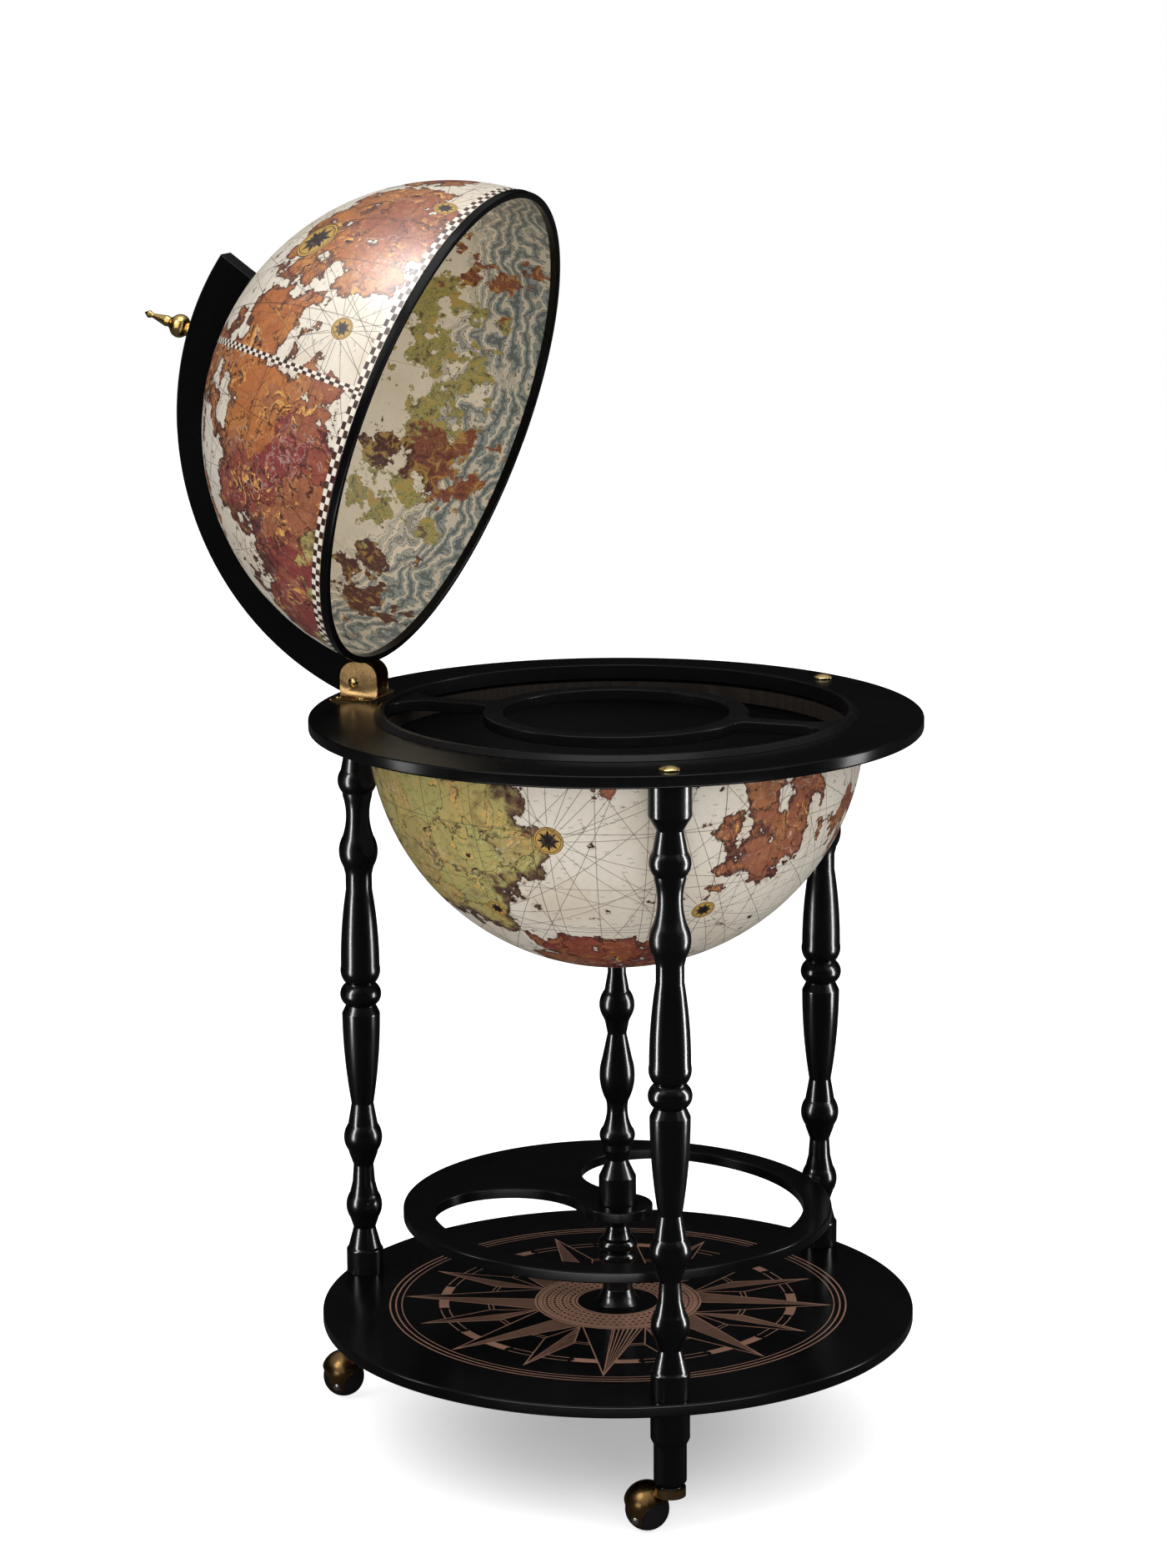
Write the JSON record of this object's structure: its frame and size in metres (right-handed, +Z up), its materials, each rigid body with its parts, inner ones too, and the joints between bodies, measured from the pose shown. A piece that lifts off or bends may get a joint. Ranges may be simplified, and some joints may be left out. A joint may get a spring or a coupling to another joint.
{
  "type": "globe bar",
  "caption": "Globe-shaped drinks cabinet on turned legs with casters; the upper half hinges open over a glass holder, with a bottle rail and round tray below.",
  "frame": {"origin": "on the floor, under the axis of the centre column", "axes": "+Z up, -X towards the lid's hinge, Y along the hinge pin"},
  "size_m": [0.6576, 0.494, 1.0311],
  "materials": {
    "black_lacquer": "gloss",
    "black_plastic": "gloss",
    "map_shell": "satin",
    "shelf_board": "satin",
    "collar_wood": "matte",
    "brass": "polished",
    "steel": "satin",
    "wheel_plastic": "satin"
  },
  "bodies": {
    "stand": {"horizon_ring": "black_lacquer", "glass_holder": "black_plastic", "lower_hemisphere": "map_shell", "bowl_collar": "collar_wood", "bowl_screws": "steel", "bowl_shelf": "shelf_board", "hinge_bracket": "brass", "hinge_screws": "brass", "hinge_pin": "brass", "leg_left": "black_lacquer", "leg_front": "black_lacquer", "leg_right": "black_lacquer", "foot_left": "black_lacquer", "foot_front": "black_lacquer", "foot_right": "black_lacquer", "leg_studs": "steel", "leg_bolt_left": "brass", "leg_bolt_front": "brass", "leg_bolt_right": "brass", "column_lower": "black_lacquer", "column_upper": "black_lacquer", "tie_rod": "steel", "rod_nut_lower": "steel", "rod_nut_upper": "steel", "bottle_rail": "black_lacquer", "base_tray": "black_lacquer", "caster_left_socket": "steel", "caster_front_socket": "steel", "caster_right_socket": "steel"},
    "lid": {"upper_hemisphere": "map_shell", "lid_rim": "black_lacquer", "meridian_arc": "black_lacquer", "pole_bush": "black_plastic", "arc_wedge": "black_plastic", "wedge_screw": "steel", "finial": "brass", "finial_nut": "steel"},
    "caster_left": {"caster_left_stem": "black_plastic", "caster_left_hood": "brass", "caster_left_axle": "steel"},
    "wheel_left": {"caster_left_wheel": "wheel_plastic"},
    "caster_front": {"caster_front_stem": "black_plastic", "caster_front_hood": "brass", "caster_front_axle": "steel"},
    "wheel_front": {"caster_front_wheel": "wheel_plastic"},
    "caster_right": {"caster_right_stem": "black_plastic", "caster_right_hood": "brass", "caster_right_axle": "steel"},
    "wheel_right": {"caster_right_wheel": "wheel_plastic"}
  },
  "joints": [
    {"name": "lid_hinge", "type": "hinge", "parent": "stand", "child": "lid", "pos_m": [-0.224, 0, 0.623], "axis": [0, 1, 0], "range_deg": [0, 72]},
    {"name": "caster_left_swivel", "type": "hinge", "parent": "stand", "child": "caster_left", "pos_m": [-0.2275, 0, 0.0426], "axis": [0, 0, 1], "continuous": true},
    {"name": "caster_left_roll", "type": "hinge", "parent": "caster_left", "child": "wheel_left", "pos_m": [-0.24842, -0.00183, 0.0174], "axis": [0.0844, -0.9645, -0.2504], "continuous": true},
    {"name": "caster_front_swivel", "type": "hinge", "parent": "stand", "child": "caster_front", "pos_m": [0.11375, -0.19702, 0.0426], "axis": [0, 0, 1], "continuous": true},
    {"name": "caster_front_roll", "type": "hinge", "parent": "caster_front", "child": "wheel_front", "pos_m": [0.09321, -0.19265, 0.0174], "axis": [-0.2013, -0.947, -0.2504], "continuous": true},
    {"name": "caster_right_swivel", "type": "hinge", "parent": "stand", "child": "caster_right", "pos_m": [0.11375, 0.19702, 0.0426], "axis": [0, 0, 1], "continuous": true},
    {"name": "caster_right_roll", "type": "hinge", "parent": "caster_right", "child": "wheel_right", "pos_m": [0.09295, 0.1941, 0.0174], "axis": [0.1347, -0.9587, -0.2504], "continuous": true}
  ]
}
